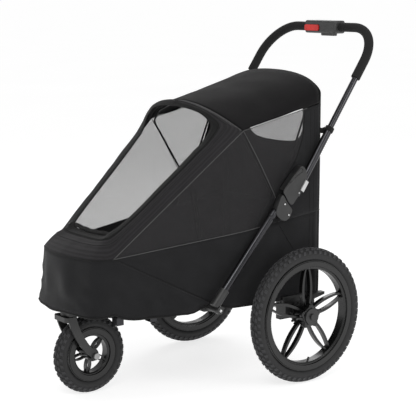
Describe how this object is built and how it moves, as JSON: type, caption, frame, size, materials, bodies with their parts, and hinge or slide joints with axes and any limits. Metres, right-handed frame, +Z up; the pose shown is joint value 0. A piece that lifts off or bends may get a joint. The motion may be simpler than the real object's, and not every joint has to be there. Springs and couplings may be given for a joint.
{
  "type": "pet stroller",
  "caption": "Jogging stroller for a dog: a folding tube frame with spoked wheels and a swivel fork, a fabric cabin with an arched canopy and open front, and a padded push handle.",
  "frame": {"origin": "on the ground, at the middle of the stroller's length and width", "axes": "+Z up, -Y the travel direction, +X the stroller's left side"},
  "size_m": [0.644, 1.0126, 1.0439],
  "materials": {
    "black_fabric": "woven oxford",
    "grey_fabric": "ribbed coated weave",
    "mesh": "see-through knitted mesh",
    "cushion_fabric": "soft fleece",
    "foam": "closed-cell foam",
    "frame_tube": "gunmetal anodised",
    "dark_plastic": "moulded, fine texture",
    "grey_plastic": "moulded, satin",
    "red_plastic": "gloss",
    "silver": "satin plated",
    "steel": "plain",
    "tyre": "treaded rubber",
    "rim_plastic": "moulded nylon"
  },
  "bodies": {
    "chassis": {"steering_head": "dark_plastic", "swivel_bushing": "dark_plastic", "axle_rod": "steel", "stub_axles": "steel", "leg_connectors": "dark_plastic", "hinge_bolts": "silver", "floor_board": "dark_plastic", "cushion": "cushion_fabric", "apron": "black_fabric", "rear_panel": "black_fabric", "front_band": "grey_fabric", "canopy": "grey_fabric", "side_rail_left": "frame_tube", "axle_bracket_left": "dark_plastic", "front_leg_left": "frame_tube", "rear_leg_left": "frame_tube", "lower_housing_left": "dark_plastic", "side_panel_left": "black_fabric", "upper_side_left": "mesh", "side_rail_right": "frame_tube", "axle_bracket_right": "dark_plastic", "front_leg_right": "frame_tube", "rear_leg_right": "frame_tube", "lower_housing_right": "dark_plastic", "side_panel_right": "black_fabric", "upper_side_right": "mesh"},
    "handle": {"handle_bar": "frame_tube", "console_top": "grey_plastic", "console_bottom": "grey_plastic", "release_cables": "steel", "upper_housing_left": "dark_plastic", "handle_tube_left": "frame_tube", "foam_grip_left": "foam", "upper_housing_right": "dark_plastic", "handle_tube_right": "frame_tube", "foam_grip_right": "foam"},
    "release_button": {"release_button": "red_plastic"},
    "squeeze_trigger": {"squeeze_trigger": "grey_plastic"},
    "lock_slider_left": {"lock_slider_left": "silver"},
    "lock_slider_right": {"lock_slider_right": "silver"},
    "front_bow": {"front_bow": "steel"},
    "rear_bow": {"rear_bow": "steel"},
    "fork": {"fork": "dark_plastic", "front_axle": "steel"},
    "front_wheel": {"front_rim": "rim_plastic", "front_tyre": "tyre", "front_bearings": "steel"},
    "swivel_lock_pin": {"swivel_lock_pin": "steel"},
    "rear_wheel_left": {"rear_rim_left": "rim_plastic", "rear_tyre_left": "tyre", "brake_cog_left": "dark_plastic", "hub_cap_left": "grey_plastic"},
    "hub_button_left": {"hub_button_left": "silver"},
    "brake_lever_left": {"brake_lever_left": "dark_plastic"},
    "rear_wheel_right": {"rear_rim_right": "rim_plastic", "rear_tyre_right": "tyre", "brake_cog_right": "dark_plastic", "hub_cap_right": "grey_plastic"},
    "hub_button_right": {"hub_button_right": "silver"},
    "brake_lever_right": {"brake_lever_right": "dark_plastic"}
  },
  "joints": [
    {"name": "handle_fold", "type": "hinge", "parent": "chassis", "child": "handle", "pos_m": [0, 0.1133, 0.53], "axis": [1, 0, 0], "range_deg": [0, 104], "deforming": ["canopy", "upper_side_left", "upper_side_right", "front_band"]},
    {"name": "front_bow_fold", "type": "hinge", "parent": "chassis", "child": "front_bow", "pos_m": [0, 0.1133, 0.53], "axis": [1, 0, 0], "range_deg": [0, 58.5]},
    {"name": "rear_bow_fold", "type": "hinge", "parent": "chassis", "child": "rear_bow", "pos_m": [0, 0.1133, 0.53], "axis": [1, 0, 0], "range_deg": [0, 104.5]},
    {"name": "release_button_press", "type": "slide", "parent": "handle", "child": "release_button", "axis": [0, 1, 0], "range_m": [0, 0.004], "stiffness_N_per_m": 400},
    {"name": "trigger_squeeze", "type": "slide", "parent": "handle", "child": "squeeze_trigger", "axis": [0, 0, 1], "range_m": [0, 0.005], "stiffness_N_per_m": 600, "springref_m": -0.001},
    {"name": "lock_slide_left", "type": "slide", "parent": "handle", "child": "lock_slider_left", "axis": [0, 0.5654, 0.8248], "range_m": [0, 0.01]},
    {"name": "lock_slide_right", "type": "slide", "parent": "handle", "child": "lock_slider_right", "axis": [0, 0.5654, 0.8248], "range_m": [0, 0.01]},
    {"name": "fork_swivel", "type": "hinge", "parent": "chassis", "child": "fork", "pos_m": [0, -0.4667, 0.236], "axis": [0, 0, 1], "continuous": true},
    {"name": "front_wheel_spin", "type": "hinge", "parent": "fork", "child": "front_wheel", "pos_m": [0, -0.3927, 0.1136], "axis": [1, 0, 0], "continuous": true},
    {"name": "swivel_lock", "type": "slide", "parent": "chassis", "child": "swivel_lock_pin", "axis": [0, 0, 1], "range_m": [-0.008, 0]},
    {"name": "rear_wheel_spin_left", "type": "hinge", "parent": "chassis", "child": "rear_wheel_left", "pos_m": [0.286, 0.1733, 0.2], "axis": [1, 0, 0], "continuous": true},
    {"name": "hub_button_press_left", "type": "slide", "parent": "chassis", "child": "hub_button_left", "axis": [-1, 0, 0], "range_m": [0, 0.003], "stiffness_N_per_m": 400},
    {"name": "brake_press_left", "type": "hinge", "parent": "chassis", "child": "brake_lever_left", "pos_m": [0.25, 0.2193, 0.24], "axis": [1, 0, 0], "range_deg": [-9, 0]},
    {"name": "rear_wheel_spin_right", "type": "hinge", "parent": "chassis", "child": "rear_wheel_right", "pos_m": [-0.286, 0.1733, 0.2], "axis": [1, 0, 0], "continuous": true},
    {"name": "hub_button_press_right", "type": "slide", "parent": "chassis", "child": "hub_button_right", "axis": [1, 0, 0], "range_m": [0, 0.003], "stiffness_N_per_m": 400},
    {"name": "brake_press_right", "type": "hinge", "parent": "chassis", "child": "brake_lever_right", "pos_m": [-0.25, 0.2193, 0.24], "axis": [1, 0, 0], "range_deg": [-9, 0]}
  ],
  "couplings": [
    {"joint": "front_bow_fold", "follows": "handle_fold", "ratio": 0.557},
    {"joint": "rear_bow_fold", "follows": "handle_fold", "ratio": 1},
    {"joint": "lock_slide_left", "follows": "trigger_squeeze", "ratio": 2},
    {"joint": "lock_slide_right", "follows": "trigger_squeeze", "ratio": 2}
  ]
}
